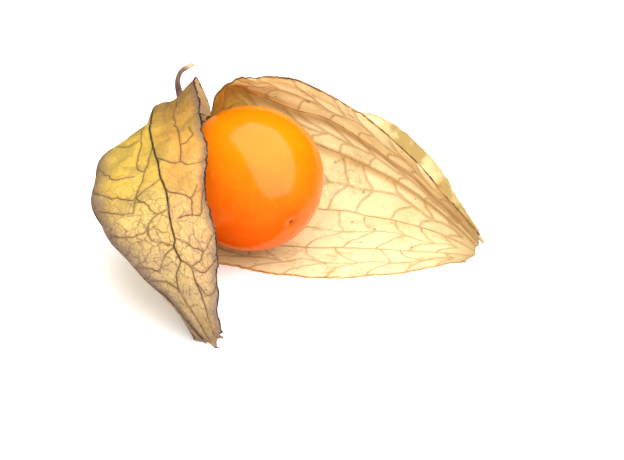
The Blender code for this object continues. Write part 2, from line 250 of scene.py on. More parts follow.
def plain_sheet(petal, stations, places):
    """Points of the husk's middle surface: one row for each station, one column for each place."""
    ribs = sorted(petal)
    cage = np.array([rib_line(petal, rib, stations) for rib in ribs])
    rounded = smooth_curve(ribs, cage, places)
    span = np.clip(np.searchsorted(ribs, places, side="right") - 1, 0, len(ribs) - 2)
    knots = np.asarray(ribs, float)
    share = ((places - knots[span]) / (knots[span + 1] - knots[span]))[:, None, None]
    straight = cage[span] * (1 - share) + cage[span + 1] * share
    left = petal is LEFT_PETAL
    crease = CREASE["left" if left else "right"]
    points = crease * straight + (1 - crease) * rounded
    if not left:
        rim = rib_line(petal, RIM_RIB, stations)
        grown = smooth_step(stations, STRIP_STARTS, STRIP_IS_WIDE)[:, None]
        beyond = places > RIM_RIB
        points[beyond] = rim + (points[beyond] - rim) * grown
    other = RIGHT_PETAL if left else LEFT_PETAL
    floor = joined_edge(stations, 4, other, 4, petal, FLOOR_TEAR, FLOOR_OPENS)
    own_rib, other_rib = (0, RIM_RIB) if left else (RIM_RIB, 0)
    top = joined_edge(stations, own_rib, other, other_rib, petal, TOP_TEAR, TOP_OPENS)
    from_top = places if left else np.maximum(RIM_RIB - places, 0.0)
    near_notch = smooth_step(stations, 0.3, 1.0) * (1 - smooth_step(stations, 1.0, 1.9))
    notch = np.outer(1 - smooth_step(from_top, 0.0, 1.2), near_notch)[..., None] * NOTCH_MOVE
    points = points + notch
    points = points + floor[None] * (1 - smooth_step(abs(places - 4), 0.0, JOIN_REACH))[:, None, None]
    points = points + top[None] * (1 - smooth_step(from_top, 0.0, JOIN_REACH))[:, None, None]
    return points.transpose(1, 0, 2)


def outward_normals(points):
    """The outward direction at each point of a sheet, from its neighbours along and across."""
    normals = np.cross(np.gradient(points, axis=1), np.gradient(points, axis=0))
    normals /= np.maximum(np.linalg.norm(normals, axis=2, keepdims=True), 1e-9)
    middle = (points.shape[0] // 2, points.shape[1] // 2)
    inward = np.dot(normals[middle], points[middle] - BERRY_CENTRE) < 0
    return -normals if inward else normals


def hump(values, start, top, end):
    """Rises from 0 at the start to 1 at the top, and falls back to 0 at the end."""
    return smooth_step(values, start, top) * (1 - smooth_step(values, top, end))


def left_folds(stations, places):
    """The left petal's own folds: a high shoulder at rib 1, a hollow beside it, a flat lower panel."""
    shoulder = SHOULDER_LIFT * np.outer(hump(stations, 0.6, 1.8, 3.2), hump(places, 0.0, 0.9, 1.5))
    hollow = -HOLLOW_DEPTH * np.outer(hump(stations, 1.2, 2.4, 3.6), hump(places, 1.0, 1.45, 2.1))
    lower = -LOWER_PANEL_DEPTH * np.outer(hump(stations, 4.0, 6.0, 8.6), smooth_step(places, 1.6, 2.4))
    saddle = np.outer(hump(stations, 1.0, 2.1, 3.5), np.interp(places, SADDLE_PLACES, SADDLE_DEPTHS))
    return shoulder + hollow + lower + saddle


def right_pleats(stations, places):
    """The right petal's pleats between its crease and its rim, and the small lobes of the rim."""
    bend = 9.0 * places[None] + 1.6 * np.sin(1.3 * stations)[:, None]
    seen = np.outer(hump(stations, 1.6, 3.6, 7.0), hump(places, 7.2, 9.0, 10.0))
    lobes = hump(stations, 2.6, 3.0, 3.3) - 1.2 * hump(stations, 3.1, 3.35, 3.65)
    return (PLEAT_HEIGHT * np.sin(bend) * seen
            + RIM_LOBE_HEIGHT * np.outer(lobes, smooth_step(places, 9.0, 10.0)))


def settled_sheet(petal, stations, places):
    """The sheet with its waves, off the berry and down on the ground."""
    points = plain_sheet(petal, stations, places)
    normals = outward_normals(points)
    free = smooth_step(stations, 1.5, 4.0) * (1 - smooth_step(stations, 7.5, 9.0))
    inside_rim = 1 - smooth_step(places, 8.4, 9.8)
    outward = np.outer(free, 0.3 + 0.7 * inside_rim) * WAVE * wave_at(points) + OUTWARD * inside_rim
    if petal is LEFT_PETAL:
        joined = np.outer(1 - smooth_step(stations, 1.2, 2.2), 1 - smooth_step(places, 0.0, 0.8))
        outward = outward * (1 - joined) + left_folds(stations, places)
    else:
        outward = outward + right_pleats(stations, places)
    points = points + outward[..., None] * normals
    away = points - BERRY_CENTRE
    distance = np.linalg.norm(away, axis=2, keepdims=True)
    least = BERRY_RADIUS + SEEN_GAP + SHEET
    points = np.where(distance < least, BERRY_CENTRE + away * least / distance, points)
    height = points[..., 2]
    lifted = np.maximum(smooth_step(np.hypot(points[..., 0], points[..., 1]), *FLAT_FLOOR),
                        smooth_step(height, *LOW_FLOOR))
    height = height - (SOLID_WALL - SHEET) / 2 * (1 - smooth_step(height, *GROUND_REACH))
    points[..., 2] = SHEET / 2 + np.maximum(height - SHEET / 2, 0.0) * lifted
    return points


for name, petal, first, last in (("left", LEFT_PETAL, 0, 4), ("right", RIGHT_PETAL, 4, 11)):
    sample = settled_sheet(petal, np.linspace(0, LAST_STATION, 90), np.linspace(first, last, 90))
    lengths = np.linalg.norm(np.diff(sample, axis=0), axis=2).sum(0)
    widths = np.linalg.norm(np.diff(sample, axis=1), axis=2).sum(1)
    print(name, "petal:", lengths.min().round(1), "to", lengths.max().round(1), "mm long, up to",
          widths.max().round(1), "mm wide, lowest", sample[..., 2].min().round(2))

# %% [markdown]
# For the render the sheet needs a fine net of faces, a few tenths of a millimetre each, so that
# blisters and torn edges are real shape. Rows follow the ribs at an even pace in millimetres. A torn
# edge is ragged: the points near it are pushed along the sheet by a random profile with coarse bites
# and fine teeth. The random numbers have a fixed seed, so every run tears the husk in the same way.

# %% Fine sheets with torn edges
ROWS = 236
COLUMNS = 200
COARSE_BITE = 0.5
COARSE_SPACING = 2.2
FINE_TOOTH = 0.26
FINE_SPACING = 0.45
BITE_REACH = 1.6
DEEPEST_BITE = 0.12
TOP_RAGGED_FROM, FLOOR_RAGGED_FROM = 1.6, FLOOR_TEAR + 0.4
TIP_KNOTS, TIP_REACH = 13, 3.0
TIP_SPIKE, TIP_SPIKE_WIDTH = 1.6, 0.09


def even_stations(petal, rib, count):
    """Stations that stand at even distances along a rib."""
    fine = np.linspace(0, LAST_STATION, 400)
    distances = distances_along_line(rib_line(petal, rib, fine))
    return np.interp(np.linspace(0, distances[-1], count), distances, fine)


def distance_along(points, axis):
    """How far each point lies along its row or column, in millimetres."""
    steps = np.linalg.norm(np.diff(points, axis=axis), axis=2)
    start = np.zeros((1, points.shape[1])) if axis == 0 else np.zeros((points.shape[0], 1))
    return np.concatenate([start, np.cumsum(steps, axis=axis)], axis=axis)


def torn_profile(distances, seed):
    """How deep the tear bites at each distance along an edge: coarse bites and fine teeth."""
    rng = np.random.default_rng(seed)
    profile = np.zeros(len(distances))
    for depth, spacing in ((COARSE_BITE, COARSE_SPACING), (FINE_TOOTH, FINE_SPACING)):
        knots = np.arange(0.0, distances[-1] + 2 * spacing, spacing)
        knots = knots + rng.uniform(-0.3, 0.3, len(knots)) * spacing
        profile += np.interp(distances, knots, rng.uniform(-0.5 * depth, 0.5 * depth, len(knots)))
    return profile


def tear(points, side, torn_from, stations, seed):
    """Pushes the points near the first or the last column inwards along the sheet."""
    along = distance_along(points, 0)
    across = distance_along(points, 1)
    edge = 0 if side == "first" else -1
    depth = torn_profile(along[:, edge], seed) * smooth_step(stations, torn_from, torn_from + 0.4)
    depth = np.minimum(depth, DEEPEST_BITE * across[:, -1])
    inward = np.gradient(points, axis=1) * (1 if side == "first" else -1)
    inward /= np.maximum(np.linalg.norm(inward, axis=2, keepdims=True), 1e-9)
    away = across if side == "first" else across[:, -1:] - across
    share = 1 - smooth_step(away, 0.0, BITE_REACH)
    return points + inward * (share * depth[:, None])[..., None]


def tear_tip(points, places, spike_place, seed):
    """Makes the last row ragged, with one longer spike."""
    rng = np.random.default_rng(seed)
    knots = np.linspace(places[0], places[-1], TIP_KNOTS)
    depth = np.interp(places, knots, rng.uniform(0.0, 1.0, len(knots)))
    spike_width = TIP_SPIKE_WIDTH * (places[-1] - places[0])
    depth = depth - TIP_SPIKE * np.exp(-((places - spike_place) / spike_width) ** 2)
    forward = np.gradient(points, axis=0)
    forward /= np.maximum(np.linalg.norm(forward, axis=2, keepdims=True), 1e-9)
    along = distance_along(points, 0)
    share = 1 - smooth_step(along[-1:] - along, 0.0, TIP_REACH)
    return points - forward * (share * depth[None])[..., None]


def fine_sheet(petal, first, last, pace_rib, torn_first, torn_last, spike_place, seed):
    """One petal's fine sheet, with its rows at the pace of one rib and its edges torn."""
    stations = even_stations(petal, pace_rib, ROWS)
    places = np.linspace(first, last, COLUMNS)
    points = settled_sheet(petal, stations, places)
    points = tear(points, "first", torn_first, stations, seed)
    points = tear(points, "last", torn_last, stations, seed + 1)
    points = tear_tip(points, places, spike_place, seed + 2)
    normals = outward_normals(points)
    return {"points": points, "normals": normals, "stations": stations, "places": places}


sheets = {
    "left": fine_sheet(LEFT_PETAL, 0, 4, 1, TOP_RAGGED_FROM, FLOOR_RAGGED_FROM, spike_place=1.4, seed=11),
    "right": fine_sheet(RIGHT_PETAL, 4, 11, 8, FLOOR_RAGGED_FROM, TOP_RAGGED_FROM, spike_place=9.6, seed=21),
}
for name, sheet in sheets.items():
    spacing = np.linalg.norm(np.diff(sheet["points"], axis=1), axis=2)
    print(name, "sheet:", sheet["points"].shape[:2], "points, at most", spacing.max().round(2), "mm apart")

# %% [markdown]
# The veins carried water to the leaf, and they stay when the green is gone. Ten ribs run from the
# collar to the tip, every second one stronger. Side veins leave them, turn along the panel and join.
# The large veins that the front shows are listed routes, as stations and places on the sheet.
# The rest follow a rule: from each rib one side vein after the other runs out to the next rib and joins
# the vein from there in the middle of the panel.

# %% Routes of the veins
LEFT_RIB_ONE = [(1.2, 1.0), (2.0, 1.0), (3.0, 1.0), (3.6, 1.0), (4.0, 0.98), (4.3, 0.96), (4.75, 0.99),
                (5.25, 0.95), (5.6, 0.96), (6.0, 0.99), (6.55, 1.02), (6.7, 1.09), (7.0, 1.06)]
LEFT_RIB_TWO = [(0.15, 2.0), (1.0, 2.0), (2.0, 1.97), (3.0, 1.95), (4.0, 2.02), (4.7, 2.06), (5.4, 2.16),
                (6.1, 2.24), (6.8, 2.22), (7.5, 2.12), (8.9, 2.0)]
LEFT_FORKS = [
    [(7.0, 1.06), (7.15, 0.85), (7.45, 0.83), (7.7, 0.73), (8.2, 0.72), (8.8, 0.75)],
    [(7.0, 1.06), (7.15, 1.15), (7.35, 1.3), (7.65, 1.42), (8.2, 1.45), (8.8, 1.4)],
]
LEFT_SIDE_VEINS = [
    [(1.6, 0.48), (2.3, 0.47), (2.7, 0.5), (3.1, 0.52), (3.4, 0.48), (3.9, 0.48), (4.42, 0.51)],
    [(3.85, 0.48), (3.8, 0.32), (3.62, 0.22), (3.42, 0.24)],
    [(4.25, 0.96), (4.4, 0.69), (4.42, 0.52), (4.55, 0.39), (4.45, 0.13), (4.35, 0.02)],
    [(5.25, 0.95), (5.35, 0.88), (5.4, 0.64), (5.45, 0.44), (5.6, 0.42), (5.97, 0.48)],
    [(5.45, 0.44), (5.3, 0.3), (5.05, 0.2)],
    [(6.1, 0.8), (5.95, 0.52), (5.85, 0.27), (5.6, 0.15), (5.1, 0.02)],
    [(6.55, 1.0), (6.65, 0.74), (6.7, 0.36), (6.5, 0.18), (6.2, 0.02)],
    [(6.7, 0.36), (6.95, 0.53), (7.12, 0.82)],
    [(7.15, 0.85), (7.2, 0.5), (7.0, 0.2), (6.8, 0.02)],
    [(7.5, 0.8), (7.7, 0.5), (7.6, 0.2), (7.4, 0.02)],
    [(2.0, 1.3), (2.7, 1.25), (3.2, 1.22), (3.7, 1.21), (4.1, 1.28), (4.5, 1.3), (4.6, 1.22)],
    [(3.8, 1.0), (4.2, 1.1), (4.6, 1.21), (5.0, 1.3), (5.4, 1.39)],
    [(4.85, 1.98), (5.1, 1.77), (5.25, 1.62), (5.45, 1.46), (5.4, 1.39), (5.2, 1.2), (4.95, 1.02)],
    [(5.85, 1.0), (6.0, 1.25), (6.25, 1.46), (6.3, 1.6), (6.2, 1.8), (6.05, 1.98)],
    [(6.7, 1.09), (6.85, 1.3), (7.15, 1.52), (7.05, 1.68), (6.9, 1.98)],
    [(5.35, 1.98), (5.5, 1.83), (5.65, 1.66), (5.75, 1.5), (5.45, 1.4)],
    [(4.15, 1.97), (4.4, 1.8), (4.75, 1.6), (4.75, 1.36)],
    [(6.15, 1.36), (6.45, 1.42), (6.6, 1.25), (6.68, 1.1)],
    [(5.4, 1.39), (5.7, 1.28), (5.95, 1.18)],
    [(7.65, 1.42), (7.4, 1.7), (7.3, 1.98)],
    [(3.2, 1.98), (3.5, 1.75), (3.6, 1.5), (3.5, 1.24)],
]
STRONG_RIB, FINE_RIB, RIB_TIP = 0.19, 0.15, 0.06
RIB_ONE, RIB_ONE_END = 0.17, 0.13
RIB_TWO, RIB_TWO_END = 0.24, 0.12
FORK, SIDE_VEIN, LAID_SIDE_VEIN, SIDE_VEIN_TIP = 0.11, 0.085, 0.072, 0.05
RIB_STATIONS = (0.15, 1, 2, 3, 5, 7, 8.9)


def rib_routes(ribs):
    """(route, radius at its start, radius at its end) of each rib that has no route of its own."""
    return [([(station, rib) for station in RIB_STATIONS], STRONG_RIB if rib % 2 == 0 else FINE_RIB, RIB_TIP)
            for rib in ribs]


def joined_side_veins(first, last, stations, rng):
    """Side veins that leave both ribs of a panel, meet halfway, and are linked along its middle."""
    routes = []
    width = last - first
    meeting_before = None
    for station in stations:
        start = station + rng.uniform(-0.12, 0.12)
        middle = first + width * rng.uniform(0.42, 0.58)
        meeting = (min(start + rng.uniform(0.35, 0.6), 8.7), middle)
        routes.append([(start, first), (start + 0.12, first + 0.25 * width), meeting])
        back = start + rng.uniform(-0.2, 0.2)
        routes.append([(back, last), (back + 0.15, last - 0.25 * width), meeting])
        if meeting_before is not None:
            bow = middle + width * rng.uniform(-0.1, 0.1)
            routes.append([meeting_before, ((meeting_before[0] + meeting[0]) / 2, bow), meeting])
        meeting_before = meeting
    return routes


VEIN_STATIONS = (1.4, 2.1, 2.8, 3.5, 4.2, 4.9, 5.6, 6.3, 7.0, 7.7)
PANELS = {"left": ((2, 3), (3, 4)), "right": ((4, 5), (5, 6), (6, 7), (7, 8), (8, 10))}
vein_routes = {
    "left": [(LEFT_RIB_ONE, RIB_ONE, RIB_ONE_END), (LEFT_RIB_TWO, RIB_TWO, RIB_TWO_END)] + rib_routes((3, 4)),
    "right": rib_routes((4, 5, 6, 7, 8)),
}
vein_routes["left"] += [(route, FORK, RIB_TIP) for route in LEFT_FORKS]
vein_routes["left"] += [(route, LAID_SIDE_VEIN, SIDE_VEIN_TIP) for route in LEFT_SIDE_VEINS]
rng = random.Random(5)
for side, panels in PANELS.items():
    for first, last in panels:
        veins = joined_side_veins(first, last, VEIN_STATIONS, rng)
        vein_routes[side] += [(route, SIDE_VEIN, SIDE_VEIN_TIP) for route in veins]
print("veins:", {side: len(routes) for side, routes in vein_routes.items()})

# %% [markdown]
# A route is turned into points by reading the fine sheet between its own points. The distance from every
# point of the sheet to the nearest vein is kept, since it is needed twice: the panels blister outwards
# between the veins, and the colour is darker along them. Where a size in millimetres is needed, a place
# counts as 7 mm and a station as 5 mm, which is about what they are on average.

# %% From routes to points
STEP_ALONG_VEIN = 0.25
VEIN_KINK = 0.9
VEIN_WIGGLE, RIB_WIGGLE = 0.2, 0.06
MM_PER_PLACE, MM_PER_STATION = 7.0, 5.0
BLISTER = 0.24
BLISTER_REACH = 1.3
VEIN_FADE = 2.0
EDGE_FADE = 3.0


def on_sheet(sheet, key, stations, places):
    """Reads one of the sheet's arrays between its points."""
    row = np.interp(stations, sheet["stations"], range(len(sheet["stations"])))
    column = np.interp(places, sheet["places"], range(len(sheet["places"])))
    r = np.minimum(row.astype(int), len(sheet["stations"]) - 2)
    c = np.minimum(column.astype(int), len(sheet["places"]) - 2)
    a, b = (row - r)[:, None], (column - c)[:, None]
    grid = sheet[key]
    return ((1 - a) * (1 - b) * grid[r, c] + a * (1 - b) * grid[r + 1, c]
            + (1 - a) * b * grid[r, c + 1] + a * b * grid[r + 1, c + 1])


def walk(sheet, route, wiggle):
    """Stations and places at even steps along a smooth route, which wiggles a little."""
    corners = np.array(route, float)
    knots = np.arange(len(corners))
    fine = smooth_curve(knots, corners, np.linspace(0, len(corners) - 1, 12 * len(corners)))
    fine[:, 0] = np.clip(fine[:, 0], 0, LAST_STATION)
    fine[:, 1] = np.clip(fine[:, 1], sheet["places"][0], sheet["places"][-1])
    points = on_sheet(sheet, "points", fine[:, 0], fine[:, 1])
    distances = distances_along_line(points)
    count = max(int(distances[-1] / STEP_ALONG_VEIN), 3)
    at = np.linspace(0, distances[-1], count)
    stations, places = np.interp(at, distances, fine[:, 0]), np.interp(at, distances, fine[:, 1])
    rng = np.random.default_rng(int(1000 * corners[0].sum()))
    knots = np.arange(0.0, distances[-1] + 2 * VEIN_KINK, VEIN_KINK)
    ends = hump(at, 0.0, distances[-1] / 2, distances[-1])
    sideways = np.interp(at, knots, rng.uniform(-1, 1, len(knots)))
    lengthways = np.interp(at, knots, rng.uniform(-1, 1, len(knots)))
    places = places + ends * sideways * wiggle / MM_PER_PLACE
    stations = stations + ends * lengthways * wiggle / MM_PER_STATION
    return stations, np.clip(places, sheet["places"][0], sheet["places"][-1])


def lay_veins(sheet, routes, surface):
    """Each vein as (points, outward directions, radii)."""
    laid = []
    for route, start_radius, end_radius in routes:
        stations, places = walk(sheet, route, VEIN_WIGGLE if start_radius < FINE_RIB else RIB_WIGGLE)
        points = on_sheet(sheet, surface, stations, places)
        normals = on_sheet(sheet, "normals", stations, places)
        laid.append((points, normals, np.linspace(start_radius, end_radius, len(points))))
    return laid


def nearest_distances(points, targets):
    tree = kdtree.KDTree(len(targets))
    for index, target in enumerate(targets):
        tree.insert(target, index)
    tree.balance()
    return np.array([tree.find(point)[2] for point in points])


def torn_distance(side, sheet):
    """How far each point is from the nearest torn edge or the tip, in millimetres."""
    across = distance_along(sheet["points"], 1)
    along = distance_along(sheet["points"], 0)
    last = np.full(len(sheet["stations"]), len(sheet["places"]) - 1)
    if side == "right":
        rim = np.searchsorted(sheet["places"], RIM_RIB)
        last = np.where(sheet["stations"] < STRIP_STARTS, rim, last)
    joined = EDGE_FADE * (1 - smooth_step(sheet["stations"], 1.0, 1.8)[:, None])
    from_first = across + joined
    from_last = abs(across[np.arange(len(last)), last][:, None] - across) + joined
    from_tip = along[-1:] - along
    return np.minimum(np.minimum(from_first, from_last), from_tip)


laid_veins = {}
for side, sheet in sheets.items():
    flat_veins = lay_veins(sheet, vein_routes[side], "points")
    targets = np.concatenate([points for points, normals, radii in flat_veins])
    distances = nearest_distances(sheet["points"].reshape(-1, 3), targets)
    sheet["to_vein"] = distances.reshape(sheet["points"].shape[:2])
    sheet["to_edge"] = torn_distance(side, sheet)
    blister = BLISTER * (1 - np.exp(-sheet["to_vein"] / BLISTER_REACH))
    blister = blister * smooth_step(sheet["to_edge"], 0.0, 2.0)
    blister = blister * smooth_step(sheet["points"][..., 2], 0.5, 2.5)
    sheet["relief"] = sheet["points"] + blister[..., None] * sheet["normals"]
    sheet["relief"][..., 2] = np.maximum(sheet["relief"][..., 2], SHEET / 2)
    laid_veins[side] = lay_veins(sheet, vein_routes[side], "relief")
    print(side, "veins:", round(len(targets) * STEP_ALONG_VEIN / 10), "cm long, blisters up to",
          blister.max().round(2), "mm")

# %% [markdown]
# The sheet itself starts as bmesh's own grid, whose points are then moved to their places. A Solidify
# modifier gives the paper its thickness afterwards. Its outer and inner faces get a material each,
# because the inside of a husk is paler and smoother than its outside.

# %% The petals
UV_PER_PLACE, UV_PER_STATION = MM_PER_PLACE / 10, MM_PER_STATION / 10


def write_numbers(bm, values):
    """Writes each array of numbers on the points, under its own name."""
    for key in values:
        bm.verts.layers.float.new(key)
    for key, numbers in values.items():
        layer = bm.verts.layers.float[key]
        for vert, number in zip(bm.verts, numbers):
            vert[layer] = number


def cut_before_strip(bm):
    """Takes away the faces past the rim, up to where the folded strip starts."""
    station, place = (bm.verts.layers.float[key] for key in ("station", "place"))
    before_strip = [face for face in bm.faces
                    if min(vert[place] for vert in face.verts) > RIM_RIB - 0.01
                    and min(vert[station] for vert in face.verts) < STRIP_STARTS + 0.05]
    bmesh.ops.delete(bm, geom=before_strip, context="FACES")


def add_uv_map(mesh):
    """A UV map in centimetres along and across the sheet."""
    uv = mesh.uv_layers.new(name="along_and_across")
    corner_verts = np.zeros(len(mesh.loops), int)
    mesh.loops.foreach_get("vertex_index", corner_verts)
    place, station = (np.array([value.value for value in mesh.attributes[key].data])
                      for key in ("place", "station"))
    flat = np.stack([place * UV_PER_PLACE, station * UV_PER_STATION], axis=1)[corner_verts]
    uv.data.foreach_set("uv", flat.ravel())


def petal_piece(name, side):
    sheet = sheets[side]
    rows, columns = sheet["points"].shape[:2]
    bm = bmesh.new()
    bmesh.ops.create_grid(bm, x_segments=columns - 1, y_segments=rows - 1, size=1)
    for vert, point in zip(bm.verts, sheet["relief"].reshape(-1, 3) * MM):
        vert.co = point
    write_numbers(bm, {
        "to_vein": (sheet["to_vein"] / VEIN_FADE).ravel(),
        "to_edge": (sheet["to_edge"] / EDGE_FADE).ravel(),
        "station": np.repeat(sheet["stations"], columns),
        "place": np.tile(sheet["places"], rows),
    })
    if side == "right":
        cut_before_strip(bm)
    bmesh.ops.recalc_face_normals(bm, faces=bm.faces)
    bm.verts.ensure_lookup_table()
    corner = (rows // 2) * columns + columns // 3
    if bm.verts[corner].normal.dot(Vector(sheet["normals"][rows // 2, columns // 3])) < 0:
        bmesh.ops.reverse_faces(bm, faces=bm.faces)
    piece = smooth_piece(name, as_mesh(bm, name))
    add_uv_map(piece.data)
    paper = piece.modifiers.new("paper", "SOLIDIFY")
    paper.thickness = SHEET * MM
    paper.offset = 0.0
    paper.use_even_offset = False
    paper.material_offset = 1
    return piece


left_petal = petal_piece("left_petal", "left")
right_petal = petal_piece("right_petal", "right")

# %% [markdown]
# A vein is a cord in the leaf, thick at the rib and thinner at its end. A curve with a bevel makes such a
# cord, since every point of a curve has a radius of its own. The curve is turned into a mesh at once, so
# that it can be shaded smooth and its faces counted. The veins stand out more on the outside of the husk,
# so each lies a little towards that side.

# %% The veins
VEIN_BEVEL, RIB_BEVEL = 1, 3
SUNK_SHARE = 0.35


def cords_piece(name, cords, bevel):
    """Tubes along lists of (points, outward directions, radii), as one mesh."""
    curve = bpy.data.curves.new(name, "CURVE")
    curve.dimensions = "3D"
    curve.bevel_depth = MM
    curve.bevel_resolution = bevel
    curve.use_fill_caps = True
    for points, normals, radii in cords:
        spline = curve.splines.new("POLY")
        spline.points.add(len(points) - 1)
        centres = points + (SHEET / 2 - SUNK_SHARE * radii)[:, None] * normals
        centres[:, 2] = np.maximum(centres[:, 2], radii)
        centres = centres * MM
        spline.points.foreach_set("co", np.column_stack([centres, np.ones(len(points))]).ravel())
        spline.points.foreach_set("radius", radii)
    maker = linked_object(name, curve)
    graph = bpy.context.evaluated_depsgraph_get()
    mesh = bpy.data.meshes.new_from_object(maker.evaluated_get(graph))
    bpy.data.objects.remove(maker, do_unlink=True)
    return smooth_piece(name, mesh)


def ribs_and_veins(side):
    """The petal's ribs as one piece and its finer veins as another."""
    ribs = [cord for cord in laid_veins[side] if cord[2][0] >= FINE_RIB]
    veins = [cord for cord in laid_veins[side] if cord[2][0] < FINE_RIB]
    return cords_piece(side + "_ribs", ribs, RIB_BEVEL), cords_piece(side + "_veins", veins, VEIN_BEVEL)


left_ribs, left_veins = ribs_and_veins("left")
right_ribs, right_veins = ribs_and_veins("right")

# %% [markdown]
# Two ribs run along torn edges in full view. Rib 0 is the dark edge of the left petal, and rib 10 is the
# brown rim of the right one. A rib that was torn along is knotty, with stumps of its side veins.

# %% The ribs along the torn edges
EDGE_RIB, EDGE_RIB_TIP = 0.1, 0.08
RIM_RIB_START, RIM_RIB_TIP = 0.09, 0.14
RIM_LIFT = 0.1
KNOTS_EVERY = 0.9


def edge_cord(sheet, column, from_station, to_station, start_radius, end_radius, lift, seed):
    """(points, outward directions, knotty radii) along one column of the sheet."""
    rng = np.random.default_rng(seed)
    rows = np.where((sheet["stations"] >= from_station) & (sheet["stations"] <= to_station))[0]
    points = sheet["relief"][rows, column] + [0.0, 0.0, lift]
    along = distances_along_line(points)
    knots = np.arange(0.0, along[-1] + KNOTS_EVERY, KNOTS_EVERY / 2)
    knotty = np.interp(along, knots, rng.uniform(0.6, 1.5, len(knots)))
    radii = np.linspace(start_radius, end_radius, len(points)) * knotty
    return points, sheet["normals"][rows, column], radii


rim_column = int(np.searchsorted(sheets["right"]["places"], RIM_RIB))
edge_line = edge_cord(sheets["left"], 0, 0.4, 8.8, EDGE_RIB, EDGE_RIB_TIP, lift=0.0, seed=3)
rim_line = edge_cord(sheets["right"], rim_column, 0.4, 8.9, RIM_RIB_START, RIM_RIB_TIP, RIM_LIFT, seed=4)
left_edge = cords_piece("left_edge_rib", [edge_line], RIB_BEVEL)
right_rim = cords_piece("right_rim_rib", [rim_line], RIB_BEVEL)

# %% [markdown]
# The berry is almost a ball. Its skin is not quite even, as the seeds press against it from inside. The
# stalk end has a shallow dimple, and at the other end sits the tiny dark scar of the style. The ball's
# poles are turned to these two ends, so the shape can follow the distance to them.

# %% The berry
BERRY_AROUND = 256
BERRY_RINGS = 170
STALK_DIMPLE, STALK_DIMPLE_REACH = 0.35, 3.0
STYLE_DIMPLE, STYLE_DIMPLE_REACH = 0.12, 1.3
SEED_BUMP, SEED_WAVES = 0.035, 5.5


def berry_piece():
    bm = bmesh.new()
    bmesh.ops.create_uvsphere(bm, u_segments=BERRY_AROUND, v_segments=BERRY_RINGS, radius=1)
    turn = Vector((0.0, 0.0, 1.0)).rotation_difference(Vector(FRUIT_AXIS)).to_matrix()
    rng = np.random.default_rng(8)
    seeds = rng.normal(size=(5, 3)) * SEED_WAVES
    for vert in bm.verts:
        direction = np.array(vert.co)
        from_stalk = math.acos(max(-1.0, min(1.0, -direction[2]))) * BERRY_RADIUS
        from_style = math.acos(max(-1.0, min(1.0, direction[2]))) * BERRY_RADIUS
        dimple = STALK_DIMPLE * (1 - smooth_step(from_stalk, 0.0, STALK_DIMPLE_REACH))
        scar = STYLE_DIMPLE * (1 - smooth_step(from_style, 0.2, STYLE_DIMPLE_REACH))
        bump = SEED_BUMP * np.sin(seeds @ direction).sum() / 2.5
        vert.co = turn @ (vert.co * float(BERRY_RADIUS - dimple - scar + bump))
    bmesh.ops.scale(bm, verts=bm.verts, vec=(MM, MM, MM))
    bmesh.ops.translate(bm, verts=bm.verts, vec=Vector(BERRY_CENTRE * MM))
    bmesh.ops.recalc_face_normals(bm, faces=bm.faces)
    return smooth_piece("ripe_berry", as_mesh(bm, "ripe_berry"))


ripe_berry = berry_piece()

# %% [markdown]
# The stem dried with the husk. It shrank between its fibres, so it has ridges along it, and its end was
# torn off and shows pale fibres. It grows from a ring of points that is pushed out again and again along
# the stem's line. The ring starts as a circle, and each new one gets its own size and ridges.

# %% The stem
STEM_SIDES = 28
STEM_STEPS = 90
RECEPTACLE_RADIUS, RECEPTACLE_THICKNESS = 2.3, 0.9
STEM_RADIUS, STEM_TIP_RADIUS = 0.65, 0.3
STEM_FOOT, STEM_STRAIGHT = 1.4, 3.6
STEM_BEND = [(-9.8, 13.6, 15.9), (-10.4, 14.1, 17.5), (-10.6, 14.2, 18.9), (-10.4, 14.1, 20.1),
             (-9.8, 14.0, 21.0), (-8.5, 14.0, 21.8)]
FIBRES, FINE_FIBRES = 7, 13
FIBRE_DEPTH, FINE_FIBRE_DEPTH = 0.11, 0.05


def stem_stations():
    """(centre, radius) from the berry's stalk end, through the receptacle, to the torn end."""
    stalk_end = BERRY_CENTRE - (BERRY_RADIUS + BERRY_GAP) * FRUIT_AXIS
    profile = [(0.0, 0.55 * RECEPTACLE_RADIUS), (0.3 * RECEPTACLE_THICKNESS, RECEPTACLE_RADIUS),
               (0.8 * RECEPTACLE_THICKNESS, 0.92 * RECEPTACLE_RADIUS),
               (RECEPTACLE_THICKNESS, 0.5 * RECEPTACLE_RADIUS), (STEM_FOOT, STEM_RADIUS)]
    stations = [(stalk_end - depth * FRUIT_AXIS, radius) for depth, radius in profile]
    route = [stalk_end - depth * FRUIT_AXIS for depth in (STEM_FOOT, STEM_STRAIGHT)]
    route = np.array(route + [np.array(point) for point in STEM_BEND])
    for share in np.arange(1, STEM_STEPS + 1) / STEM_STEPS:
        radius = STEM_RADIUS + (STEM_TIP_RADIUS - STEM_RADIUS) * smooth_step(share, 0.1, 0.75)
        centre = smooth_curve(range(len(route)), route, np.array([share * (len(route) - 1)]))[0]
        stations.append((centre, float(radius)))
    return stations


def next_ring(bm, end, ring):
    """Pushes the end face out by one ring of points, in the same order as the ring before."""
    grown = bmesh.ops.extrude_face_region(bm, geom=[end])["geom"]
    end = next(part for part in grown if isinstance(part, bmesh.types.BMFace))
    new = set(end.verts)
    return end, [next(edge.other_vert(vert) for edge in vert.link_edges if edge.other_vert(vert) in new)
                 for vert in ring]


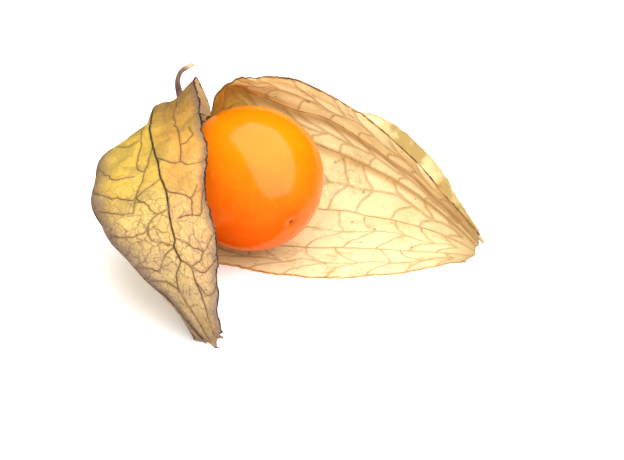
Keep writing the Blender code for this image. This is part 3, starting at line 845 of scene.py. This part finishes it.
def place_ring(ring, centre, direction, radius, index, torn):
    """Sets a ring of points square to the stem's direction, with the ridges of its fibres."""
    ahead = unit(direction)
    across = unit(np.cross(ahead, SIDE_ACROSS))
    other = np.cross(ahead, across)
    along = index / STEM_STEPS
    for side, vert in enumerate(ring):
        turn = 2 * math.pi * side / STEM_SIDES
        ridge = (FIBRE_DEPTH * math.sin(FIBRES * turn + 2.5 * along)
                 + FINE_FIBRE_DEPTH * math.sin(FINE_FIBRES * turn - 6 * along))
        size = radius * (1 + ridge * float(smooth_step(index, 2, 8)))
        point = centre + size * (math.cos(turn) * across + math.sin(turn) * other) + torn[side] * ahead
        vert.co = Vector(point * MM)


def stem_piece():
    stations = stem_stations()
    centres = np.array([centre for centre, radius in stations])
    directions = np.gradient(centres, axis=0)
    torn = np.random.default_rng(2).uniform(-0.25, 0.45, STEM_SIDES)
    bm = bmesh.new()
    bmesh.ops.create_circle(bm, cap_ends=True, segments=STEM_SIDES, radius=1)
    end = bm.faces[:][0]
    ring = list(end.verts)
    for index, ((centre, radius), direction) in enumerate(zip(stations, directions)):
        if index:
            end, ring = next_ring(bm, end, ring)
        place_ring(ring, centre, direction, radius, index, torn * (index == len(stations) - 1))
    bmesh.ops.triangulate(bm, faces=[face for face in bm.faces if len(face.verts) > 4])
    bmesh.ops.recalc_face_normals(bm, faces=bm.faces)
    return smooth_piece("dry_stem", as_mesh(bm, "dry_stem"))


dry_stem = stem_piece()

# %% [markdown]
# Every colour below is written as the hex number that a painter would pick on screen, and one function
# turns it into the linear light that Blender works with. One more helper adds a node with its settings
# and its links, and takes the node's kind without the word ShaderNode in front. All patterns are made
# from Object coordinates, which are metres here, or from the husk's own UV map and attributes, so they
# stay on the piece from every side.

# %% Tools for the materials


def colour(hex_code):
    channels = [int(hex_code[index:index + 2], 16) / 255 for index in (1, 3, 5)]
    return [c / 12.92 if c <= 0.04045 else ((c + 0.055) / 1.055) ** 2.4 for c in channels] + [1.0]


def add_node(tree, kind, inputs=None, stops=(), **properties):
    """One node. An input gets a number, a hex colour, a node or one of its outputs. Stops fill a ramp."""
    node = tree.nodes.new("ShaderNode" + kind)
    for key, value in properties.items():
        setattr(node, key, value)
    for key, value in (inputs or {}).items():
        if isinstance(value, bpy.types.Node):
            value = next(output for output in value.outputs if output.enabled)
        if isinstance(value, bpy.types.NodeSocket):
            tree.links.new(value, node.inputs[key])
        else:
            node.inputs[key].default_value = colour(value) if isinstance(value, str) else value
    for index, (position, hex_code) in enumerate(stops):
        elements = node.color_ramp.elements
        stop = elements[index] if index < 2 else elements.new(position)
        stop.position, stop.color = position, colour(hex_code)
    return node


def new_material(name):
    material = bpy.data.materials.new(name)
    material.use_nodes = True
    tree = material.node_tree
    tree.nodes.clear()
    return material, tree


def stained(tree, base, pattern, start, end, hex_code, strength, within=1.0):
    """The base colour with a stain over it, which grows as the pattern goes from start to end."""
    share = add_node(tree, "MapRange", {"Value": pattern, "From Min": start, "From Max": end,
                                        "To Max": strength}, interpolation_type="SMOOTHSTEP")
    share = add_node(tree, "Math", {0: share, 1: within}, operation="MULTIPLY")
    return add_node(tree, "Mix", {0: share, 6: base, 7: hex_code}, data_type="RGBA")


def finish_strand(tree, base, fibres, depth, roughness, gloss):
    """Dry woody strand: a rough surface, with its fibres as a bump."""
    bump = add_node(tree, "Bump", {"Height": fibres, "Strength": 0.6, "Distance": depth * MM})
    surface = add_node(tree, "BsdfPrincipled", {
        "Base Color": base, "Normal": bump, "Roughness": roughness, "IOR": 1.45, "Specular IOR Level": gloss})
    add_node(tree, "OutputMaterial", {"Surface": surface})


print("straw yellow in linear light:", [round(channel, 3) for channel in colour("#D3A850")])

# %% [markdown]
# The husk is dry leaf, thin enough for light to come through. Its outside has faded unevenly, from brown
# near the collar, through yellow and gold, to a dull brown at the tips, and it is purple-brown along torn
# edges and veins. Between the veins lies a fine net of tiny ones. Voronoi cells give such a net: their
# borders are the veinlets, in two sizes, the finer one inside the coarser. The UV map is measured in
# centimetres along and across the sheet, so cells of 0.15 and 0.065 units are 1.5 and 0.65 mm wide.

# %% The veinlets and the light through the leaf
NET_COARSE = 1 / 0.15
NET_FINE = 1 / 0.065
SHINE_THROUGH = "#FFEFC8"


def veinlet_net(tree, sheet_place):
    """1 on the fine net of veinlets, 0 between."""
    bent = add_node(tree, "TexNoise", {"Vector": sheet_place, "Scale": 9.0, "Detail": 2.0})
    small = add_node(tree, "VectorMath", {0: bent.outputs["Color"], "Scale": 0.14}, operation="SCALE")
    shifted = add_node(tree, "VectorMath", {0: sheet_place, 1: small}, operation="ADD")
    nets = []
    for scale, width, strength in ((NET_COARSE, 0.07, 1.0), (NET_FINE, 0.12, 0.65)):
        cells = add_node(tree, "TexVoronoi", {"Vector": shifted, "Scale": scale},
                         voronoi_dimensions="2D", feature="DISTANCE_TO_EDGE")
        nets.append(add_node(tree, "MapRange", {"Value": cells, "From Max": width, "To Min": strength,
                                                "To Max": 0.0}, interpolation_type="SMOOTHSTEP"))
    return add_node(tree, "Math", {0: nets[0], 1: nets[1]}, operation="MAXIMUM")


def finish_paper(tree, base, height, thinness, roughness):
    """Dry leaf: a rough surface mixed with light that shines through."""
    bump = add_node(tree, "Bump", {"Height": height, "Strength": 0.5, "Distance": 0.12 * MM})
    surface = add_node(tree, "BsdfPrincipled", {
        "Base Color": base, "Normal": bump, "Roughness": roughness, "IOR": 1.45, "Specular IOR Level": 0.2})
    glow = add_node(tree, "Mix", {0: 0.4, 6: base, 7: SHINE_THROUGH}, data_type="RGBA")
    through = add_node(tree, "BsdfTranslucent", {"Color": glow, "Normal": bump})
    leaf = add_node(tree, "MixShader", {0: thinness, 1: surface, 2: through})
    add_node(tree, "OutputMaterial", {"Surface": leaf})


print("veinlets about", round(10 / NET_COARSE, 2), "and", round(10 / NET_FINE, 2), "mm apart")

# %% [markdown]
# The outside has most of the colour. First comes the slow change along the leaf, then stains on top of it:
# yellow and olive clouds, grey-purple bruises, a brown edge, brown along the veins, and the net. Along rib 2,
# where the sheet is folded and turns away, a purple-brown band is painted shade.

# %% The outside of the husk


def outside_material():
    """Dried calyx leaf, outer side: matt, straw to gold, stained purple-brown at its edges, with painted
    shade along rib 2.
    """
    material, tree = new_material("dried_leaf_outside")
    where = add_node(tree, "TexCoord").outputs["Object"]
    sheet_place = add_node(tree, "UVMap", uv_map="along_and_across")
    station, place, to_vein, to_edge = (add_node(tree, "Attribute", attribute_name=name).outputs["Fac"]
                                        for name in ("station", "place", "to_vein", "to_edge"))
    wide, middling, small, tiny = (
        add_node(tree, "TexNoise", {"Vector": where, "Scale": 1 / (size * MM), "Detail": 3.0})
        for size in (9.0, 4.0, 2.0, 0.35))
    even = add_node(tree, "Math", {0: station, 1: 1 / LAST_STATION, 2: -0.14}, operation="MULTIPLY_ADD")
    along = add_node(tree, "Math", {0: wide, 1: 0.28, 2: even}, operation="MULTIPLY_ADD")
    straw = add_node(tree, "ValToRGB", {0: along}, [
        (0.0, "#745636"), (0.16, "#866830"), (0.25, "#C49C34"), (0.4, "#DCB840"),
        (0.55, "#DAB44C"), (0.7, "#DEBA6C"), (0.84, "#C0A26C"), (1.0, "#8E7248")])
    peach = add_node(tree, "ValToRGB", {0: along}, [
        (0.0, "#70502E"), (0.16, "#82602C"), (0.27, "#A87C30"), (0.38, "#D8A23C"),
        (0.55, "#EEB05A"), (0.7, "#E8B878"), (0.84, "#C4A270"), (1.0, "#8E7248")])
    front = add_node(tree, "MapRange", {"Value": place, "From Min": 0.7, "From Max": 1.05})
    base = add_node(tree, "Mix", {0: front, 6: peach, 7: straw}, data_type="RGBA")
    base = stained(tree, base, place, 3.95, 4.05, "#C4A672", 0.4)
    base = stained(tree, base, middling, 0.48, 0.62, "#98823A", 0.42)
    early = add_node(tree, "MapRange", {"Value": station, "From Min": 5.0, "From Max": 2.5})
    base = stained(tree, base, small, 0.46, 0.66, "#86663A", 0.45, early)
    late = add_node(tree, "MapRange", {"Value": station, "From Min": 5.0, "From Max": 7.0})
    base = stained(tree, base, middling, 0.5, 0.62, "#C09C88", 0.3, late)
    edge = add_node(tree, "Math", {0: small, 1: 0.6, 2: to_edge}, operation="MULTIPLY_ADD")
    base = stained(tree, base, edge, 0.85, 0.3, "#75605E", 0.75)
    # Painted shade: a purple-brown band along rib 2, where the sheet is folded and turns away from the light.
    painted_shade_fold = add_node(tree, "Math", {0: place, 1: SILHOUETTE_PLACE}, operation="SUBTRACT")
    painted_shade_fold = add_node(tree, "Math", {0: painted_shade_fold}, operation="ABSOLUTE")
    painted_shade_fold = add_node(tree, "Math", {0: small, 1: 0.4, 2: painted_shade_fold}, operation="MULTIPLY_ADD")
    base = stained(tree, base, painted_shade_fold, 0.66, 0.24, "#625056", 0.8)
    strip = add_node(tree, "MapRange", {"Value": place, "From Min": 10.0, "From Max": 10.15})
    base = stained(tree, base, small, 0.1, 0.6, "#BEA052", 0.85, strip)
    base = stained(tree, base, middling, 0.52, 0.62, "#8C7440", 0.7, strip)
    base = stained(tree, base, to_vein, 0.2, 0.02, "#7C5A3C", 0.5)
    net = veinlet_net(tree, sheet_place)
    net_shows = add_node(tree, "MapRange", {"Value": along, "From Min": 0.45, "From Max": 0.75,
                                            "To Min": 0.18, "To Max": 0.75})
    base = stained(tree, base, net, 0.0, 1.0, "#664838", 1.0, net_shows)
    base = stained(tree, base, tiny, 0.4, 0.75, "#FFF0C8", 0.1)
    grain = add_node(tree, "Math", {0: tiny, 1: 0.3}, operation="MULTIPLY")
    height = add_node(tree, "Math", {0: net, 1: 0.5, 2: grain}, operation="MULTIPLY_ADD")
    finish_paper(tree, base, height, thinness=0.22, roughness=0.65)
    return material


dried_leaf_outside = outside_material()
print("the outside has", len(dried_leaf_outside.node_tree.nodes), "nodes")

# %% [markdown]
# The inside was never in the weather, so it is paler, smoother cream. Near the collar it has long streaks,
# and it is painted darker golden brown there as the shade deep in the hollow. Along the crease at rib 8 it is
# painted golden and orange as the light that the berry throws on it, and just under that crease and under rib
# 7 it is painted darker as their shade. It has thin smudges and specks.

# %% The inside of the husk


def inside_material():
    """Dried calyx leaf, inner side: smooth pale cream, streaked near the collar, with painted shade there and
    under the creases, and painted berry light above the crease.
    """
    material, tree = new_material("dried_leaf_inside")
    where = add_node(tree, "TexCoord").outputs["Object"]
    sheet_place = add_node(tree, "UVMap", uv_map="along_and_across")
    station, place, to_vein, to_edge = (add_node(tree, "Attribute", attribute_name=name).outputs["Fac"]
                                        for name in ("station", "place", "to_vein", "to_edge"))
    wide, middling, small = (
        add_node(tree, "TexNoise", {"Vector": where, "Scale": 1 / (size * MM), "Detail": 4.0})
        for size in (8.0, 4.0, 1.2))
    even = add_node(tree, "Math", {0: station, 1: 1 / LAST_STATION, 2: -0.08}, operation="MULTIPLY_ADD")
    along = add_node(tree, "Math", {0: wide, 1: 0.16, 2: even}, operation="MULTIPLY_ADD")
    # Painted shade: the first stops make the inside dark golden brown near the collar, as the shade deep in
    # the hollow. The long streaks there are the leaf's own.
    base = add_node(tree, "ValToRGB", {0: along}, [
        (0.0, "#96681C"), (0.13, "#C08A20"), (0.19, "#E2B042"), (0.26, "#FAD878"),
        (0.34, "#FEE8A4"), (0.55, "#FFF0BC"), (0.85, "#F8E2AC"), (1.0, "#CDB078")])
    stretched = add_node(tree, "Mapping", {"Vector": sheet_place, "Scale": (14.0, 0.9, 1.0)})
    streaks = add_node(tree, "TexNoise", {"Vector": stretched, "Scale": 3.0, "Detail": 4.0})
    near_collar = add_node(tree, "MapRange", {"Value": station, "From Min": 1.4, "From Max": 2.8,
                                              "To Min": 1.0, "To Max": 0.08})
    base = stained(tree, base, streaks, 0.44, 0.66, "#8A5E20", 0.75, near_collar)
    band = add_node(tree, "Math", {0: place, 1: 1 / 11}, operation="MULTIPLY")
    # Painted light: a golden band just above the crease at rib 8, near the collar, stands in for the warm
    # light that the orange berry throws on the inside.
    gold = add_node(tree, "MapRange", {"Value": station, "From Min": 4.6, "From Max": 2.8,
                                       "To Min": 0.2, "To Max": 1.0})
    berry_light_above_crease = add_node(tree, "ValToRGB", {0: band}, [
        (0.72, "#000000"), (0.735, "#FFFFFF"), (0.765, "#404040"), (0.82, "#000000"), (0.91, "#202020")])
    base = stained(tree, base, berry_light_above_crease, 0.02, 0.8, "#E8AA38", 0.65, gold)
    # Painted shade: a darker brown strip just under the crease at rib 8, where the crease shades the sheet.
    painted_shade_under_crease = add_node(tree, "ValToRGB", {0: band}, [
        (0.655, "#000000"), (0.69, "#606060"), (0.718, "#FFFFFF"), (0.73, "#000000")])
    base = stained(tree, base, painted_shade_under_crease, 0.0, 0.9, "#B07E38", 0.75)
    # Painted shade: a softer brown strip along and just under rib 7, in the same way as under the crease.
    painted_shade_under_rib7 = add_node(tree, "ValToRGB", {0: band}, [
        (0.585, "#000000"), (0.62, "#606060"), (0.634, "#FFFFFF"), (0.645, "#000000")])
    base = stained(tree, base, painted_shade_under_rib7, 0.0, 0.9, "#C09450", 0.65)
    # Painted light: a deeper orange on the same band nearest the berry, as its glow.
    near_berry = add_node(tree, "MapRange", {"Value": station, "From Min": 3.4, "From Max": 2.4})
    base = stained(tree, base, berry_light_above_crease, 0.0, 0.3, "#F0961C", 0.6, near_berry)
    base = stained(tree, base, place, 3.95, 3.85, "#EBD2A0", 0.75)
    strip = add_node(tree, "MapRange", {"Value": place, "From Min": 10.0, "From Max": 10.15})
    base = stained(tree, base, middling, 0.2, 0.7, "#A88C44", 0.9, strip)
    base = stained(tree, base, middling, 0.52, 0.62, "#8C7440", 0.6, strip)
    base = stained(tree, base, middling, 0.52, 0.66, "#E2B860", 0.22)
    base = stained(tree, base, to_vein, 0.17, 0.02, "#A87838", 0.55)
    edge = add_node(tree, "Math", {0: middling, 1: 0.4, 2: to_edge}, operation="MULTIPLY_ADD")
    base = stained(tree, base, edge, 0.38, 0.16, "#A8844C", 0.4)
    net = veinlet_net(tree, sheet_place)
    net_shows = add_node(tree, "MapRange", {"Value": middling, "From Min": 0.48, "From Max": 0.62,
                                            "To Min": 0.05, "To Max": 0.4})
    base = stained(tree, base, net, 0.0, 1.0, "#8A6434", 1.0, net_shows)
    base = stained(tree, base, small, 0.66, 0.74, "#7A5228", 0.6)
    height = add_node(tree, "Math", {0: net, 1: 0.5, 2: streaks}, operation="MULTIPLY_ADD")
    finish_paper(tree, base, height, thinness=0.2, roughness=0.5)
    return material


dried_leaf_inside = inside_material()
for petal in (left_petal, right_petal):
    petal.data.materials.append(dried_leaf_outside)
    petal.data.materials.append(dried_leaf_inside)
print("the inside has", len(dried_leaf_inside.node_tree.nodes), "nodes")

# %% [markdown]
# Veins are woody strands. They are brown with paler and darker stretches, golden in the long petal, and the
# rib along the left petal's torn edge is the darkest, with pale flecks on it as painted highlights.

# %% The veins' finish


def vein_material(name, dark, middle, pale, darkness):
    """Woody strand: matt brown, streaked dark along it."""
    material, tree = new_material(name)
    where = add_node(tree, "TexCoord").outputs["Object"]
    patches, fibres = (
        add_node(tree, "TexNoise", {"Vector": where, "Scale": 1 / (size * MM), "Detail": 4.0})
        for size in (2.2, 0.4))
    tone = add_node(tree, "Mix", {0: 0.3, 2: patches, 3: fibres}, data_type="FLOAT")
    base = add_node(tree, "ValToRGB", {0: tone}, [
        (0.35 + darkness, dark), (0.52 + darkness, middle), (0.68 + darkness, pale)])
    finish_strand(tree, base, fibres, depth=0.08, roughness=0.75, gloss=0.2)
    return material


FINISHES = {
    left_ribs: vein_material("rib_strand", "#2E2018", "#513A28", "#846444", 0.02),
    left_veins: vein_material("side_vein_strand", "#46342A", "#70543A", "#9C7E52", 0.0),
    # The torn-edge rib's palest stop gives pale flecks on the dark strand: painted highlights.
    left_edge: vein_material("torn_rib_strand", "#241A16", "#4A382E", "#C4AE94", 0.05),
    right_rim: vein_material("rim_rib_strand", "#4E3620", "#86602F", "#C09450", 0.0),
    right_ribs: vein_material("golden_rib_strand", "#8A5E2C", "#B98440", "#DDB068", -0.02),
    right_veins: vein_material("golden_vein_strand", "#94683A", "#C2944E", "#E4BC78", -0.03),
}
for piece, finish in FINISHES.items():
    piece.data.materials.clear()
    piece.data.materials.append(finish)
print("vein finishes:", sorted(finish.name for finish in FINISHES.values()))

# %% [markdown]
# The berry's skin is thin, tight and waxy, over juicy flesh that lets light in. So it has subsurface
# scattering in orange, a thin smooth coat for the wax, and a slightly rough skin under it. Its colour is
# painted golden orange on top and darker, redder orange below, as light from above and shade underneath, with
# faint paler mottling. The style's scar is a tiny dark red-brown spot at the blossom end.

# %% The berry's finish
SKIN_RADIUS = (1.2, 0.45, 0.08)
BLOSSOM_END = BERRY_CENTRE + BERRY_RADIUS * FRUIT_AXIS


def berry_material():
    """Ripe berry skin: glossy, waxy orange."""
    material, tree = new_material("ripe_berry_skin")
    where = add_node(tree, "TexCoord").outputs["Object"]
    from_end = add_node(tree, "VectorMath", {0: where, 1: BLOSSOM_END * MM}, operation="DISTANCE")
    from_end = add_node(tree, "Math", {0: from_end.outputs["Value"], 1: 1 / MM}, operation="MULTIPLY")
    height = add_node(tree, "SeparateXYZ", {"Vector": where}).outputs["Z"]
    clouds, mottle = (
        add_node(tree, "TexNoise", {"Vector": where, "Scale": 1 / (size * MM), "Detail": 3.0})
        for size in (6.0, 0.9))
    # Painted light and shade: by height alone, the skin is lighter golden orange up high and darker
    # red-orange low down.
    up = add_node(tree, "MapRange", {"Value": height, "From Min": 3.0 * MM, "From Max": 19.0 * MM,
                                     "To Min": -0.2, "To Max": 0.8})
    up = add_node(tree, "Math", {0: clouds, 1: 0.4, 2: up}, operation="MULTIPLY_ADD")
    base = add_node(tree, "ValToRGB", {0: up}, [
        (0.0, "#D04C00"), (0.35, "#D85400"), (0.65, "#E26800"), (1.0, "#E87E00")])
    base = stained(tree, base, mottle, 0.5, 0.75, "#FA9C20", 0.12)
    base = stained(tree, base, from_end, 2.6, 0.7, "#D8500C", 0.55)
    base = stained(tree, base, from_end, 0.5, 0.26, "#6A2A14", 1.0)
    bump = add_node(tree, "Bump", {"Height": mottle, "Strength": 0.12, "Distance": 0.1 * MM})
    skin = add_node(tree, "BsdfPrincipled", {
        "Base Color": base, "Normal": bump, "Roughness": 0.16, "IOR": 1.45, "Specular IOR Level": 0.55,
        "Specular Tint": "#FFF2E0", "Subsurface Weight": 0.2, "Subsurface Radius": SKIN_RADIUS,
        "Subsurface Scale": MM, "Coat Weight": 0.08, "Coat Roughness": 0.1})
    add_node(tree, "OutputMaterial", {"Surface": skin})
    return material


ripe_berry.data.materials.append(berry_material())
print("the berry's blossom end is at", BLOSSOM_END.round(1), "mm")

# %% [markdown]
# The stem is dry and woody, purple-brown and a little silvery. Its fibres show as long streaks, and the
# torn end is pale inside.

# %% The stem's finish


def stem_material():
    """Dry stalk: matt purple-brown with long fibres, pale where it was torn."""
    material, tree = new_material("dry_stalk")
    where = add_node(tree, "TexCoord").outputs["Object"]
    torn_end = Vector(STEM_BEND[-1]) * MM
    from_end = add_node(tree, "VectorMath", {0: where, 1: torn_end}, operation="DISTANCE")
    from_end = add_node(tree, "Math", {0: from_end.outputs["Value"], 1: 1 / MM}, operation="MULTIPLY")
    stretched = add_node(tree, "Mapping", {"Vector": where, "Scale": (1.0, 1.0, 0.2)})
    streaks = add_node(tree, "TexNoise", {"Vector": stretched, "Scale": 1 / (0.35 * MM), "Detail": 4.0})
    patches = add_node(tree, "TexNoise", {"Vector": where, "Scale": 1 / (2.5 * MM), "Detail": 3.0})
    tone = add_node(tree, "Mix", {0: 0.4, 2: streaks, 3: patches}, data_type="FLOAT")
    base = add_node(tree, "ValToRGB", {0: tone}, [(0.3, "#4E362E"), (0.5, "#7A5A4A"), (0.7, "#A68C7C")])
    base = stained(tree, base, from_end, 1.3, 0.3, "#D9BE93", 0.85)
    finish_strand(tree, base, streaks, depth=0.12, roughness=0.7, gloss=0.3)
    return material


dry_stem.data.materials.append(stem_material())
print("the stem's finish is set")

# %% [markdown]
# The fruit lies on a plain white surface in soft studio light. One very large soft light hangs above and
# a little to the front right, so the berry gets a broad, soft highlight. A second, weaker one in front
# lights the hollow of the husk. A pale world fills the shadows, and the floor gives off a little light of
# its own, so that it stays nearly white. All three are kept out of reflections, so the berry has one
# highlight.

# %% Floor and light
FLOOR_SIZE = 3.0
KEY_LENGTH, KEY_WIDTH = 1.9, 0.75
KEY_DISTANCE = 0.5
KEY_DIRECTION = unit([0.46, -0.34, 0.82])
KEY_ALONG = unit([-0.62, 0.69, 0.38])
KEY_BRIGHTNESS = 2.3
FILL_SIZE = 0.9
FILL_DISTANCE = 0.9
FILL_DIRECTION = unit([-0.15, -0.9, 0.4])
FILL_ALONG = (1.0, 0.0, 0.0)
FILL_BRIGHTNESS = 1.6
WORLD_BRIGHTNESS = 0.7

floor_bm = bmesh.new()
bmesh.ops.create_grid(floor_bm, x_segments=1, y_segments=1, size=FLOOR_SIZE / 2)
white_floor = linked_object("white_floor", as_mesh(floor_bm, "white_floor"))
floor_material, floor_tree = new_material("white_paper_floor")
floor_paper = add_node(floor_tree, "BsdfPrincipled", {
    "Base Color": "#FCFCFC", "Roughness": 0.6, "Emission Color": "#FFFFFF", "Emission Strength": 0.15})
add_node(floor_tree, "OutputMaterial", {"Surface": floor_paper})
white_floor.data.materials.append(floor_material)


def softbox(name, direction, along, distance, length, width, brightness):
    """A rectangular light that faces the berry. Its brightness is for each square metre."""
    light = bpy.data.lights.new(name, "AREA")
    light.shape = "RECTANGLE"
    light.size, light.size_y = length, width
    light.energy = brightness * math.pi * length * width
    lamp = linked_object(name, light)
    back = Vector(direction)
    across = back.cross(Vector(along)).normalized()
    lamp.location = Vector(BERRY_CENTRE * MM) + distance * back
    lamp.rotation_euler = Matrix((across.cross(back), across, back)).transposed().to_euler()
    print(name, "at", [round(value, 2) for value in lamp.location], "m")
    return lamp


softbox("key_softbox", KEY_DIRECTION, KEY_ALONG, KEY_DISTANCE, KEY_LENGTH, KEY_WIDTH, KEY_BRIGHTNESS)
fill = softbox("fill_softbox", FILL_DIRECTION, FILL_ALONG, FILL_DISTANCE, FILL_SIZE, FILL_SIZE,
               FILL_BRIGHTNESS)
fill.visible_glossy = False
white_floor.visible_glossy = False

world = bpy.data.worlds.new("studio")
bpy.context.scene.world = world
world.use_nodes = True
world.node_tree.nodes["Background"].inputs["Color"].default_value = colour("#FFFFFF")
world.node_tree.nodes["Background"].inputs["Strength"].default_value = WORLD_BRIGHTNESS
world.cycles_visibility.glossy = False
bpy.context.scene.view_settings.view_transform = "Standard"

# %% [markdown]
# Each finished piece takes the place of its solid and moves with the fruit.

# %% Pieces and bodies
PIECES = {
    "husk": (left_petal, right_petal, left_ribs, right_ribs, left_veins, right_veins, left_edge, right_rim),
    "berry": (ripe_berry,),
    "stem": (dry_stem,),
}
for node, pieces in PIECES.items():
    for piece in pieces:
        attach(piece, "root")
        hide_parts(node)
